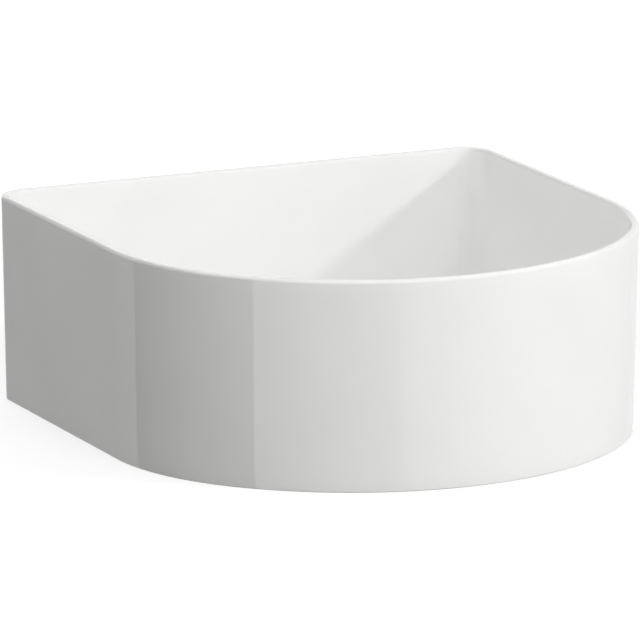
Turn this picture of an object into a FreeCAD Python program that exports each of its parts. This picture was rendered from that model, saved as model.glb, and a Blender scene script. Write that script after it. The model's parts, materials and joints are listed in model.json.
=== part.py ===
import FreeCAD, Part
import math
import os

from FreeCAD import Vector

# Countertop hand basin with a push-open waste. Millimetres.
# +X is the user's right, -Y the round front, +Y the flat back, +Z up.
# The origin is on the counter, under the outlet.

# Bowl: outline of the rim, a flat back and a front of three arcs
bowl_width = 340.0
bowl_depth = 340.0
bowl_height = 130.0
outlet_to_back = 170.0
shoulder_radius = 140.0
shoulder_sweep = 40.0  # degrees of each shoulder arc, before the front arc takes over
back_corner_radius = 20.0

# Bowl: walls, floor and foot
outer_draft = 1.0  # degrees
inner_draft = 1.5  # degrees
rim_wall = 5.0
floor_height = 31.0
floor_thickness = 13.0
floor_fillet = 9.5
dish_radius = 130.0
dish_depth = 5.0
foot_width = 12.0
foot_bevel = 0.8
corner_left = 0.5  # least radius left to the floor's outline in the back corners

# Bowl: outlet
outlet_radius = 23.0
outlet_seat_radius = 30.0
outlet_seat_depth = 6.0
boss_radius = 44.0
boss_height = 9.0  # of the boss's underside above the counter

# Waste body, a turned flange and a tail with a 1 1/4 inch pipe thread
flange_radius = 35.0
flange_bevel = 0.4
flange_lip = 2.0
flange_side_gap = 1.0
seat_inner_radius = 20.5
seat_drop = 2.6
throat_drop = 2.5
thread_radius = 20.955
tail_bore_radius = 18.0
tail_length = 64.0  # below the counter
tail_bevel = 1.5
relief_drop = 4.5  # from the clamping nut down to the groove between the two threads
relief_height = 3.0
relief_depth = 1.0

# Waste seals and clamping nut
flange_gasket_thickness = 1.5
gasket_bore_gap = 0.6
under_gasket_radius = 32.0
under_gasket_height = 8.0
under_gasket_taper = 2.0
under_gasket_spigot = 3.0
spigot_side_gap = 0.3
slip_washer_thickness = 1.5
nut_across_flats = 54.0
nut_height = 9.0
nut_bevel = 1.2
thread_gap = 0.05

# Cross-bars in the tail, and the cartridge that they carry
bar_count = 4
bar_width = 3.5
bar_height = 6.0
bar_root = 1.0  # how far the bars run into the tail's wall, both ends together
hub_radius = 7.0
hub_height = 9.0
sleeve_radius = 9.0
sleeve_bore_radius = 6.5
sleeve_length = 42.0
sleeve_bottom = 3.0
stud_radius = 4.0
stud_overhang = 1.5
bush_depth = 5.0
bush_collar = 2.0
running_gap = 0.05
key_count = 4
key_width = 2.0
key_reach = 0.8
rod_radius = 3.5
ring_wire = 1.6  # thickness of the rod's O-ring
small_bevel = 0.5

# Plunger, rotor and spring; the plug is modelled open, at the top of its stroke
stroke = 9.0
head_height = 6.0
head_headroom = 2.0  # left above the head, and below it when the plug is shut
tooth_count = 8
tooth_height = 1.2
tooth_gap = 0.4
tooth_root = 1.0  # from the spigot out to the teeth
rotor_height = 3.4
spigot_radius = 2.4
spigot_height = 6.0
spigot_end_gap = 0.3
washer_thickness = 0.8
spring_wire = 1.0
spring_turns = 6
spring_side_gap = 0.5

# Plug
stem_radius = 2.5
stem_in_rod = 7.0
stem_in_carrier = 7.0
stem_end_gap = 0.5
lock_nut_flats = 8.0
lock_nut_height = 3.0
carrier_radius = 27.0
carrier_thickness = 3.0
carrier_boss_radius = 6.0
carrier_boss_height = 6.0
carrier_spigot_radius = 22.0
seal_radius = 28.0
seal_lip = 0.7
seal_bore_gap = 0.1
seal_lift = 0.35  # left between the shut seal and the flange
cap_radius = 31.0
cap_height = 9.5
cap_edge_height = 4.0
cap_edge_round = 2.5
cap_bevel = 0.8
cap_lift = 0.7  # of the shut cap above the flange's rim
cap_socket_gap = 0.3

# Heights and radii that follow from the sizes above
half_width = bowl_width / 2
rim_base = bowl_height - rim_wall / 2
floor_under = floor_height - floor_thickness
rim_of_seat = flange_radius + flange_side_gap
outlet_height = floor_height - dish_depth
seat_height = outlet_height - outlet_seat_depth
flange_under = seat_height + flange_gasket_thickness
washer_top = boss_height - under_gasket_height
nut_top = washer_top - slip_washer_thickness
nut_under = nut_top - nut_height
hub_top = -(tail_length - hub_height - bar_height - stud_overhang)
sleeve_top = hub_top + sleeve_length
head_top = sleeve_top - bush_depth - head_headroom
head_under = head_top - head_height
rotor_top = head_under - 2 * tooth_height - tooth_gap
rotor_under = rotor_top - rotor_height
spring_foot = hub_top + sleeve_bottom
spring_top = rotor_under - washer_thickness
cap_under = outlet_height + cap_lift + stroke
cap_socket_top = cap_under + carrier_thickness - cap_lift
carrier_under = cap_socket_top - carrier_thickness
boss_under = carrier_under - carrier_boss_height
stem_top = boss_under + stem_in_carrier
rod_top = boss_under - lock_nut_height

UP = Vector(0, 0, 1)
AXIS = Vector(0, 0, 0)


def chain(steps, place):
    """Edges through the steps. A step is a point, or a pair for an arc: through the first, to the second."""
    edges = []
    here = place(steps[0])
    for step in steps[1:]:
        if isinstance(step[0], tuple):
            through, end = place(step[0]), place(step[1])
            edges.append(Part.Arc(here, through, end).toShape())
        else:
            end = place(step)
            edges.append(Part.LineSegment(here, end).toShape())
        here = end
    return edges


def closed_face(steps, place):
    """Flat face inside a closed run of steps."""
    return Part.Face(Part.Wire(chain(list(steps) + [steps[0]], place)))


def upright(point):
    return Vector(point[0], 0, point[1])


def turned(steps):
    """Solid of revolution about the outlet's axis, from steps of (radius, height)."""
    return closed_face(steps, upright).revolve(AXIS, UP, 360)


def rod(radius, low, high):
    return Part.makeCylinder(radius, high - low, Vector(0, 0, low))


def tube(inner, outer, low, high):
    return rod(outer, low, high).cut(rod(inner, low, high))


def hexagon(flats, low, high, bevel, bore):
    """Hexagon nut with both rims bevelled and a plain bore in place of its thread."""
    reach = flats / math.sqrt(3)
    corners = [
        Vector(reach * math.cos(math.radians(60 * n)), reach * math.sin(math.radians(60 * n)), low)
        for n in range(6)
    ]
    prism = Part.Face(Part.makePolygon(corners + corners[:1])).extrude(UP * (high - low))
    face = flats / 2
    lathe = turned([
        (0, low), (face, low), (reach, low + bevel),
        (reach, high - bevel), (face, high), (0, high),
    ])
    return prism.common(lathe).cut(rod(bore, low, high))


# Outline of the bowl, at any inset from the rim's outer edge
def outline_parts(inset):
    """Runs of the D from the back's right end: ("line", start, end) or ("arc", centre, radius, from, to)."""
    side = half_width - inset
    back = outlet_to_back - inset
    corner = back_corner_radius - inset
    sweep = math.radians(shoulder_sweep)
    shoulder = shoulder_radius - inset
    offset = half_width - shoulder_radius
    front = shoulder + offset / math.cos(sweep)
    front_centre = outlet_to_back - bowl_depth + inset + front
    shoulder_centre = front_centre - offset * math.tan(sweep)
    corner_x = half_width - back_corner_radius
    corner_y = outlet_to_back - back_corner_radius
    return [
        ("line", (corner_x, back), (-corner_x, back)),
        ("arc", (-corner_x, corner_y), corner, 90, 180),
        ("line", (-side, corner_y), (-side, shoulder_centre)),
        ("arc", (-offset, shoulder_centre), shoulder, 180, 180 + shoulder_sweep),
        ("arc", (0, front_centre), front, 180 + shoulder_sweep, 360 - shoulder_sweep),
        ("arc", (offset, shoulder_centre), shoulder, 360 - shoulder_sweep, 360),
        ("line", (side, shoulder_centre), (side, corner_y)),
        ("arc", (corner_x, corner_y), corner, 0, 90),
    ]


def around(centre, radius, degrees):
    turn = math.radians(degrees)
    return (centre[0] + radius * math.cos(turn), centre[1] + radius * math.sin(turn))


def outline_face(inset, height):
    """The D as a flat face."""
    steps = []
    for part in outline_parts(inset):
        if part[0] == "line":
            steps += [part[1]] if not steps else []
            steps.append(part[2])
        else:
            _, centre, radius, first, last = part
            steps.append((around(centre, radius, (first + last) / 2), around(centre, radius, last)))
    return Part.Face(Part.Wire(chain(steps, lambda p: Vector(p[0], p[1], height))))


def swept_round(steps):
    """A section of (inset, height) carried round the D: drawn along its lines, turned round its arcs."""
    section = closed_face(steps, upright)
    pieces = []
    for part in outline_parts(0):
        start = part[1] if part[0] == "line" else around(part[1], part[2], part[3])
        if part[0] == "line":
            along = Vector(part[2][0] - start[0], part[2][1] - start[1], 0)
            inward = math.degrees(math.atan2(along.y, along.x)) + 90
        else:
            inward = part[3] + 180
        placed = section.copy()
        placed.Placement = FreeCAD.Placement(Vector(start[0], start[1], 0), FreeCAD.Rotation(UP, inward))
        if part[0] == "line":
            pieces.append(placed.extrude(along))
        else:
            pieces.append(placed.revolve(Vector(part[1][0], part[1][1], 0), UP, part[4] - part[3]))
    return pieces[0].multiFuse(pieces[1:])


def bowl_section():
    """The bowl's wall as (inset, height): foot, drafted outside, full-round rim, inside, floor fillet."""
    outer_foot = rim_base * math.tan(math.radians(outer_draft))
    inner_foot = outer_foot + foot_width
    lean = math.radians(inner_draft)
    wall_inset = rim_wall + (rim_base - floor_height) * math.tan(lean)
    fillet = min(floor_fillet, back_corner_radius - wall_inset - corner_left)
    run = fillet * math.tan(math.radians(90 - inner_draft) / 2)
    centre = (wall_inset + run, floor_height + fillet)
    wall_foot = (wall_inset - run * math.sin(lean), floor_height + run * math.cos(lean))
    floor_start = (centre[0], floor_height)
    return floor_start[0], [
        (outer_foot + foot_bevel, 0),
        (outer_foot, foot_bevel),
        (0, rim_base),
        ((rim_wall / 2, bowl_height), (rim_wall, rim_base)),
        wall_foot,
        (around(centre, fillet, 225 + inner_draft / 2), floor_start),
        (floor_start[0], floor_under),
        (inner_foot, floor_under),
        (inner_foot, 0),
    ]


def basin_bowl():
    """Walls swept round the D, then the floor, dished towards an outlet with a sloping seat."""
    floor_inset, section = bowl_section()
    floor = outline_face(floor_inset, floor_under).extrude(UP * floor_thickness)
    boss = rod(boss_radius, boss_height, floor_under)
    bowl = swept_round(section).multiFuse([floor, boss])

    # The dish is a shallow arc in section, level where it leaves the flat floor
    run = dish_radius - rim_of_seat
    arc_radius = (run ** 2 + dish_depth ** 2) / (2 * dish_depth)
    half_way = floor_height - arc_radius + math.sqrt(arc_radius ** 2 - (run / 2) ** 2)
    dish = turned([
        (0, outlet_height), (rim_of_seat, outlet_height),
        ((rim_of_seat + run / 2, half_way), (dish_radius, floor_height)),
        (0, floor_height),
    ])
    seat = turned([
        (0, seat_height), (outlet_seat_radius, seat_height),
        (rim_of_seat, outlet_height), (0, outlet_height),
    ])
    outlet = rod(outlet_radius, 0, floor_height)
    return bowl.cut(dish.multiFuse([seat, outlet])).removeSplitter()


def waste_body():
    """Dished flange, threaded tail and cross-bars with a hub, one casting turned outside."""
    seat_foot = outlet_height - seat_drop
    edge_height = outlet_height - flange_bevel
    seat_slope = (rim_of_seat - outlet_seat_radius) / outlet_seat_depth
    relief_top = nut_under - relief_drop
    relief_low = relief_top - relief_height
    shell = turned([
        (flange_radius - flange_lip, outlet_height),
        (flange_radius - flange_bevel, outlet_height),
        (flange_radius, edge_height),
        (flange_radius - (edge_height - flange_under) * seat_slope, flange_under),
        (thread_radius, flange_under),
        (thread_radius, relief_top),
        (thread_radius - relief_depth, relief_top),
        (thread_radius - relief_depth, relief_low),
        (thread_radius, relief_low),
        (thread_radius, tail_bevel - tail_length),
        (thread_radius - tail_bevel, -tail_length),
        (tail_bore_radius, -tail_length),
        (tail_bore_radius, seat_foot - throat_drop),
        (seat_inner_radius, seat_foot),
    ])
    hub_low = hub_top - hub_height
    bars = []
    for n in range(bar_count // 2):
        bar = Part.makeBox(
            2 * tail_bore_radius + bar_root, bar_width, bar_height,
            Vector(-tail_bore_radius - bar_root / 2, -bar_width / 2, hub_top - (hub_height + bar_height) / 2),
        )
        bar.rotate(AXIS, UP, 360 / bar_count * n)
        bars.append(bar)
    hub = rod(hub_radius, hub_low, hub_top).multiFuse(bars)
    return shell.fuse(hub.cut(rod(stud_radius + thread_gap, hub_low, hub_top))).removeSplitter()


def flange_gasket():
    outer = outlet_seat_radius - flange_side_gap
    return tube(thread_radius + gasket_bore_gap, outer, seat_height, flange_under)


def under_gasket():
    """Tapered rubber: a spigot centres the tail in the outlet and the cone spreads under the boss."""
    bore = thread_radius + gasket_bore_gap
    return turned([
        (bore, washer_top),
        (under_gasket_radius - under_gasket_taper, washer_top),
        (under_gasket_radius, washer_top + under_gasket_taper),
        (under_gasket_radius, boss_height),
        (outlet_radius - spigot_side_gap, boss_height),
        (outlet_radius - 2 * spigot_side_gap, boss_height + under_gasket_spigot),
        (bore, boss_height + under_gasket_spigot),
    ])


def slip_washer():
    return tube(thread_radius + gasket_bore_gap, under_gasket_radius, nut_top, washer_top)


def back_nut():
    return hexagon(nut_across_flats, nut_under, nut_top, nut_bevel, thread_radius + thread_gap)


def cartridge_sleeve():
    """Blind tube with key grooves in its bore and a threaded stud under it."""
    stud_low = hub_top - hub_height - stud_overhang
    outside = turned([
        (0, stud_low), (stud_radius - small_bevel, stud_low), (stud_radius, stud_low + small_bevel),
        (stud_radius, hub_top), (sleeve_radius, hub_top), (sleeve_radius, sleeve_top), (0, sleeve_top),
    ])
    bore = rod(sleeve_bore_radius, spring_foot, sleeve_top)
    groove_low = head_under - stroke - head_headroom
    reach = sleeve_bore_radius + key_reach + running_gap
    grooves = [
        key(reach, key_width + 2 * running_gap, groove_low, sleeve_top - bush_depth, n)
        for n in range(key_count)
    ]
    return outside.cut(bore.multiFuse(grooves))


def key(reach, width, low, high, number):
    """A radial bar from the axis out to reach, one of key_count."""
    bar = Part.makeBox(reach, width, high - low, Vector(0, -width / 2, low))
    bar.rotate(AXIS, UP, 360 / key_count * number)
    return bar


def guide_bush():
    """Collared bush with a groove for the rod's O-ring."""
    bore = rod_radius + running_gap
    fitted = sleeve_bore_radius - thread_gap
    low = sleeve_top - bush_depth
    high = sleeve_top + bush_collar
    groove = rod_radius + ring_wire + running_gap
    groove_low = low + (bush_depth - ring_wire) / 2
    return turned([
        (bore, low), (fitted, low), (fitted, sleeve_top), (sleeve_radius, sleeve_top),
        (sleeve_radius, high - small_bevel), (sleeve_radius - small_bevel, high), (bore, high),
    ]).cut(rod(groove, groove_low - running_gap, groove_low + ring_wire + running_gap))


def rod_seal():
    """O-ring: its section stands just clear of the rod."""
    middle = sleeve_top - bush_depth / 2
    return Part.makeTorus(rod_radius + running_gap + ring_wire / 2, ring_wire / 2, Vector(0, 0, middle), UP)


def crown(outer, base, height):
    """Ring of square teeth on the level base; a negative height hangs them under it."""
    pitch = 360 / tooth_count
    inner = spigot_radius + tooth_root
    flank = [(inner, base), (outer, base), (outer, base + height), (inner, base + height)]
    teeth = []
    for n in range(tooth_count):
        tooth = closed_face(flank, upright).revolve(AXIS, UP, pitch / 2)
        tooth.rotate(AXIS, UP, pitch * n)
        teeth.append(tooth)
    return teeth


def plunger():
    """Rod, keyed head with teeth under it, a socket for the stem above and one for the rotor below."""
    head_radius = sleeve_bore_radius - 2 * running_gap
    solid = rod(rod_radius, head_top, rod_top).fuse(rod(head_radius, head_under, head_top))
    keys = [
        key(sleeve_bore_radius + key_reach, key_width, head_under, head_top, n)
        for n in range(key_count)
    ]
    solid = solid.multiFuse(keys + crown(head_radius, head_under, -tooth_height))
    rotor_socket = rod(spigot_radius + running_gap, head_under, rotor_top + spigot_height + spigot_end_gap)
    stem_socket = rod(stem_radius + thread_gap, rod_top - stem_in_rod, rod_top)
    return solid.cut(rotor_socket).cut(stem_socket).removeSplitter()


def index_rotor():
    """Toothed disc on a spigot that turns in the plunger."""
    radius = sleeve_bore_radius - 2 * running_gap
    disc = rod(radius, rotor_under, rotor_top)
    spigot = rod(spigot_radius, rotor_under, rotor_top + spigot_height)
    return disc.multiFuse([spigot] + crown(radius, rotor_top, tooth_height)).removeSplitter()


def thrust_washer():
    return tube(spigot_radius, sleeve_bore_radius - spring_side_gap, spring_top, rotor_under)


def return_spring():
    """Compression spring: one wire on quarter-turn arcs of a helix, standing on the sleeve's bottom."""
    coil = sleeve_bore_radius - spring_side_gap - spring_wire / 2
    low = spring_foot + spring_wire / 2
    rise = spring_top - spring_foot - spring_wire

    def point(quarter):
        turn = math.radians(90 * quarter)
        return Vector(coil * math.cos(turn), coil * math.sin(turn), low + rise * quarter / (4 * spring_turns))

    arcs = [
        Part.Arc(point(n), point(n + 0.5), point(n + 1)).toShape()
        for n in range(4 * spring_turns)
    ]
    start = arcs[0].tangentAt(arcs[0].FirstParameter)
    section = Part.Wire(Part.makeCircle(spring_wire / 2, point(0), start))
    fine = [point(n / 8) for n in range(32 * spring_turns + 1)]
    apart = min(p.distanceToPoint(q) for n, p in enumerate(fine) for q in fine[n + 16:])
    print("least gap between the spring's turns", round(apart - spring_wire, 3))
    return Part.Wire(arcs).makePipeShell([section], True, False)


def plug_stem():
    low = rod_top - stem_in_rod + stem_end_gap
    high = stem_top - stem_end_gap
    return turned([
        (0, low), (stem_radius - small_bevel, low), (stem_radius, low + small_bevel),
        (stem_radius, high - small_bevel), (stem_radius - small_bevel, high), (0, high),
    ])


def lock_nut():
    return hexagon(lock_nut_flats, rod_top, boss_under, small_bevel, stem_radius + thread_gap)


def seal_line(radius):
    """Height of the seal's underside at a radius: the flange's sloping seat, raised with the open plug."""
    rise = seat_drop / (flange_radius - flange_lip - seat_inner_radius)
    return outlet_height - seat_drop + (radius - seat_inner_radius) * rise + seal_lift + stroke


def plug_carrier():
    """Disc with a spigot for the seal and a boss for the stem."""
    spigot_low = seal_line(carrier_spigot_radius)
    return turned([
        (stem_radius + thread_gap, boss_under),
        (carrier_boss_radius, boss_under),
        (carrier_boss_radius, spigot_low),
        (carrier_spigot_radius, spigot_low),
        (carrier_spigot_radius, carrier_under),
        (carrier_radius, carrier_under),
        (carrier_radius, cap_socket_top),
        (0, cap_socket_top),
        (0, stem_top),
        (stem_radius + thread_gap, stem_top),
    ])


def plug_seal():
    """Flat ring whose sloping underside follows the flange's seat."""
    bore = carrier_spigot_radius + seal_bore_gap
    outer_low = seal_line(seal_radius)
    return turned([
        (bore, seal_line(bore)), (seal_radius, outer_low), (seal_radius, outer_low + seal_lip),
        (carrier_radius, carrier_under), (bore, carrier_under),
    ])


def plug_cap():
    """Shallow dome with a rounded edge, hollowed underneath for the carrier."""
    top = cap_under + cap_height
    edge = cap_under + cap_edge_height
    socket = carrier_radius + cap_socket_gap
    shoulder = (cap_radius - cap_edge_round, edge + cap_edge_round)
    round_middle = around((cap_radius - cap_edge_round, edge), cap_edge_round, 45)
    rise = top - shoulder[1]
    dome_radius = (shoulder[0] ** 2 + rise ** 2) / (2 * rise)
    dome_half = top - dome_radius + math.sqrt(dome_radius ** 2 - (shoulder[0] / 2) ** 2)
    return turned([
        (0, cap_socket_top), (socket, cap_socket_top), (socket, cap_under),
        (cap_radius - cap_bevel, cap_under), (cap_radius, cap_under + cap_bevel), (cap_radius, edge),
        (round_middle, shoulder),
        ((shoulder[0] / 2, dome_half), (0, top)),
    ])


PIECES = [
    basin_bowl, waste_body, flange_gasket, under_gasket, slip_washer, back_nut,
    cartridge_sleeve, guide_bush, rod_seal, plunger, index_rotor, thrust_washer, return_spring,
    plug_stem, lock_nut, plug_carrier, plug_seal, plug_cap,
]

os.makedirs("parts", exist_ok=True)
for piece in PIECES:
    solid = piece().Solids[0]
    print(piece.__name__, round(solid.Volume))
    solid.exportStep("parts/" + piece.__name__ + ".step")
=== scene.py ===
"""Looks of a countertop hand basin with a push-open waste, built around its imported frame.

Metres, in the frame's own axes: +X the user's right, -Y the round front, +Y the flat back, +Z up,
with the origin on the counter, under the outlet.
"""

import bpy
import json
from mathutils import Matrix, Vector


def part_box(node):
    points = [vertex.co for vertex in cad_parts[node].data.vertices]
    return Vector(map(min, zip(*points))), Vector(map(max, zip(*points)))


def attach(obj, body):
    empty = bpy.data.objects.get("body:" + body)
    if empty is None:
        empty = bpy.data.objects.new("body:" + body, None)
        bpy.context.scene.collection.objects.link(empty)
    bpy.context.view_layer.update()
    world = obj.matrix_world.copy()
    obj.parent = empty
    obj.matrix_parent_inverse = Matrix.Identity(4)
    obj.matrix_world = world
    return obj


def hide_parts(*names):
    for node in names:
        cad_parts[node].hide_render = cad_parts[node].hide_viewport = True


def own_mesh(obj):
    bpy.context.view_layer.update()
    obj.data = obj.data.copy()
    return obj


bl_info = {
    "name": "Countertop Hand Basin",
    "version": (1, 0, 0),
    "blender": (4, 5, 0),
    "location": "3D View > Sidebar > Basin",
    "description": "Glazed D-shaped hand basin with a chromed push-open waste",
    "category": "Object",
}

import json
import math

import bmesh
import bpy
import numpy as np
from bpy.props import FloatProperty, FloatVectorProperty, IntProperty, PointerProperty
from mathutils import Matrix, Vector

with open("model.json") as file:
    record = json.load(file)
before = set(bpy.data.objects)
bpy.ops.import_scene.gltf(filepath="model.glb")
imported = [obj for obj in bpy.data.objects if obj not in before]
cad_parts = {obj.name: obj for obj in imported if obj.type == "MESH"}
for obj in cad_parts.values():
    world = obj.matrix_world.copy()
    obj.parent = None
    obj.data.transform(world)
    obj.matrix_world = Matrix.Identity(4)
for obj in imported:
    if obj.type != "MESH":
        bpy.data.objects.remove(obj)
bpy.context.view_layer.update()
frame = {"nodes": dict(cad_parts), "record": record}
bowl_low, bowl_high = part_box("basin_bowl")
waste_low, waste_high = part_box("waste_body")
cap_low, cap_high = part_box("plug_cap")
spring_low, spring_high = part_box("return_spring")

MM = 0.001
QUARTER, HALF, WHOLE = math.pi / 2, math.pi, 2 * math.pi  # turns, in radians
WELD = 1e-7  # points closer than this are one
SAME_PLACE = 1e-8  # neighbours on a profile closer than this are one
WHITE, BLACK = (1, 1, 1, 1), (0, 0, 0, 1)
MIX_COLOURS, MIX_COLOUR = (6, 7), 2  # places of a Mix node's two colours and of their mixture
MIX_NUMBERS, MIX_NUMBER = (2, 3), 0  # places of its two numbers and of their mixture
FINISH_NAME = "basin_"  # put before a slot's name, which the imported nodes' plain materials already have

# How finely the surfaces are divided
CORNER_POINTS = 28
SHOULDER_POINTS = 40
FRONT_POINTS = 110
LINE_POINTS = 14
RIM_POINTS = 25
FILLET_POINTS = 15
INSIDE_ROWS = 10
OUTSIDE_ROWS = 12
UNDERSIDE_ROWS = 12
FLOOR_ROWS = 32
ROUND_POINTS = 5
TAIL_COLUMNS = 96
HUB_COLUMNS = 64
THREAD_ROWS = 10  # to a pitch
CAP_COLUMNS = 144
CAP_ROUND_POINTS = 12
CROWN_ROWS = 22
SPRING_POINTS = 40  # to a turn
WIRE_COLUMNS = 16
CARD_COLUMNS = 16


def length(name, description, default):
    """A length that a user may change, in metres."""
    return FloatProperty(name=name, description=description, default=default, unit="LENGTH", precision=5)


def angle(name, description, degrees):
    """An angle that a user may change, stored in radians."""
    return FloatProperty(name=name, description=description, default=math.radians(degrees), unit="ROTATION")


def colour(name, description, rgb):
    """A colour that a user may change."""
    return FloatVectorProperty(
        name=name, description=description, default=rgb, subtype="COLOR", size=3, min=0, max=1,
    )


def amount(name, description, default):
    """A plain number that a user may change."""
    return FloatProperty(name=name, description=description, default=default)


class BasinBowlSizes(bpy.types.PropertyGroup):
    """Sizes of the ceramic bowl"""

    width: length("Width", "Side to side over the rim", bowl_high.x - bowl_low.x)
    depth: length("Depth", "Flat back to round front over the rim", bowl_high.y - bowl_low.y)
    height: length("Height", "Counter to the top of the rim", 130 * MM)
    back: length("Outlet to Back", "Outlet's axis to the flat back", bowl_high.y)
    shoulder_radius: length("Shoulder Radius", "Arc from each straight side to the front", 140 * MM)
    shoulder_sweep: angle("Shoulder Sweep", "Turn of each shoulder arc", 40)
    corner_radius: length("Back Corner Radius", "Upright edges at the back", 20 * MM)
    outer_draft: angle("Outer Draft", "Lean of the outside", 1.0)
    inner_draft: angle("Inner Draft", "Lean of the inside", 1.5)
    rim_wall: length("Rim", "Thickness of the wall at its full-round rim", 5 * MM)
    floor_height: length("Floor Height", "Counter to the flat of the floor", 31 * MM)
    floor_thickness: length("Floor Thickness", "Wall of the floor", 13 * MM)
    floor_fillet: length("Floor Fillet", "Round between wall and floor", 9.5 * MM)
    dish_radius: length("Dish Radius", "Where the floor starts to fall to the outlet", 130 * MM)
    dish_depth: length("Dish Depth", "Fall of the floor", 5 * MM)
    foot_width: length("Foot Width", "Ground ring that stands on the counter", 12 * MM)
    foot_round: length("Foot Round", "Softened edges of the foot", 0.8 * MM)
    foot_fillet: length("Foot Fillet", "Cut of the corner between the foot and the underside", 2 * MM)
    foot_margin: length("Foot Margin", "Level strip of the underside beside the foot", 3 * MM)
    outlet_radius: length("Outlet", "Hole in the floor", 23 * MM)
    outlet_round: length("Outlet Round", "Softened edges of the hole and its seat", 0.8 * MM)
    seat_radius: length("Seat Radius", "Flat seat under the flange", 30 * MM)
    seat_rim_radius: length("Seat Rim Radius", "Upper edge of the flange's recess", 36 * MM)
    seat_rim_round: length("Seat Rim Round", "Softened upper edge of that recess", 1 * MM)
    seat_depth: length("Seat Depth", "Depth of the flange's recess", 6 * MM)
    boss_radius: length("Boss Radius", "Thick ring under the outlet", 44 * MM)
    boss_height: length("Boss Height", "Counter to the underside of the boss", 9 * MM)
    boss_fillet: length("Boss Fillet", "Cut of the corner between the boss and the underside", 2 * MM)
    boss_round: length("Boss Round", "Softened lower edge of the boss", 1.5 * MM)
    outlet_margin: length("Outlet Margin", "Level strip beside the boss and beside the recess", 4 * MM)


class BasinWasteSizes(bpy.types.PropertyGroup):
    """Sizes of the turned waste and its plug"""

    flange_radius: length("Flange Radius", "Outer edge of the flange", 35 * MM)
    flange_lip: length("Flange Lip", "Flat ring round the flange's dish", 2 * MM)
    flange_top: length("Flange Top", "Height of the flange's lip", waste_high.z)
    flange_under: length("Flange Underside", "Height of the flange's underside", 21.5 * MM)
    seat_inner_radius: length("Plug Seat Radius", "Inner edge of the plug's seat", 20.5 * MM)
    seat_drop: length("Plug Seat Drop", "Fall of the plug's seat", 2.6 * MM)
    throat_drop: length("Throat Drop", "Fall of the throat into the tail", 2.5 * MM)
    throat_round: length("Throat Round", "Cut of the corner at the throat's foot", 1 * MM)
    seat_round: length("Plug Seat Round", "Cut of the corner at the plug seat's inner edge", 1.2 * MM)
    lip_round: length("Lip Round", "Cut of the corner between seat and lip", 0.8 * MM)
    edge_round: length("Flange Edge Round", "Cut of the flange's upper edge", 0.5 * MM)
    under_round: length("Flange Foot Round", "Cut of the flange's lower edge", 0.3 * MM)
    thread_radius: length("Thread Radius", "Crest of the tail's pipe thread", 20.955 * MM)
    thread_pitch: length("Thread Pitch", "Pitch of the tail's pipe thread", 2.309 * MM)
    thread_depth: length("Thread Depth", "Crest to root of the pipe thread", 1.3 * MM)
    thread_neck: length("Thread Neck", "Plain neck between the flange and the thread", 0.5 * MM)
    thread_lead: length("Thread Lead", "Over which a thread runs in or out", 2 * MM)
    bore_radius: length("Tail Bore", "Inside of the tail", 18 * MM)
    tail_end: length("Tail End", "Height of the tail's lower end", waste_low.z)
    tail_tip: length("Tail Tip", "Height of the tail's bevelled tip", 1 * MM)
    tail_bevel: length("Tail Bevel", "How far the tip is bevelled in", 1.5 * MM)
    tail_step: length("Tail Step", "Step where the thread ends at the tip", 0.2 * MM)
    relief_top: length("Relief Top", "Upper edge of the groove between the two threads", -14 * MM)
    relief_height: length("Relief Height", "Height of that groove", 3 * MM)
    relief_depth: length("Relief Depth", "Depth of that groove", 1 * MM)
    relief_slope: length("Relief Slope", "Height of that groove's sloping sides", 0.3 * MM)
    hub_radius: length("Hub Radius", "Ring that carries the cartridge", 7 * MM)
    hub_bore: length("Hub Bore", "Screw hole in the hub", 4.05 * MM)
    hub_top: length("Hub Top", "Height of the hub's upper face", -47.5 * MM)
    hub_height: length("Hub Height", "Height of the hub", 9 * MM)
    hub_round: length("Hub Round", "Softened edges of the hub", 0.4 * MM)
    bar_width: length("Bar Width", "Thickness of the cross-bars", 3.5 * MM)
    bar_height: length("Bar Height", "Height of the cross-bars", 6 * MM)
    bar_round: length("Bar Round", "Softened edges of the cross-bars", 0.8 * MM)
    bar_root: length("Bar Root", "How far a bar runs into the tail's wall", 0.5 * MM)
    cap_radius: length("Cap Radius", "Outer edge of the plug's cap", cap_high.x)
    cap_under: length("Cap Underside", "Height of the open cap's lower edge", cap_low.z)
    cap_top: length("Cap Top", "Height of the open cap's crown", cap_high.z)
    cap_edge: length("Cap Edge", "Upright edge of the cap", 4 * MM)
    cap_round: length("Cap Round", "Round between the edge and the crown", 2.5 * MM)
    cap_foot_round: length("Cap Foot Round", "Softened lower edge of the cap", 0.8 * MM)
    socket_radius: length("Cap Socket", "Hollow under the cap", 27.3 * MM)
    socket_depth: length("Cap Socket Depth", "Depth of the hollow", 2.3 * MM)
    socket_fillet: length("Cap Socket Fillet", "Cut of the corner at the hollow's top", 0.6 * MM)
    socket_round: length("Cap Socket Round", "Softened mouth of the hollow", 0.5 * MM)
    spring_wire: length("Spring Wire", "Thickness of the spring's wire", 1 * MM)
    spring_turns: IntProperty(name="Spring Turns", description="Turns of the spring", default=7)
    spring_flat: amount("Closed Turns", "Turns that lie closed at each end of the spring", 0.8)
    spring_closed: amount("Closed Pitch", "Pitch of the closed turns, over the wire's thickness", 1.06)
    spring_shut: length("Spring Shut", "Length of the spring with the plug down", 10 * MM)


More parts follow.
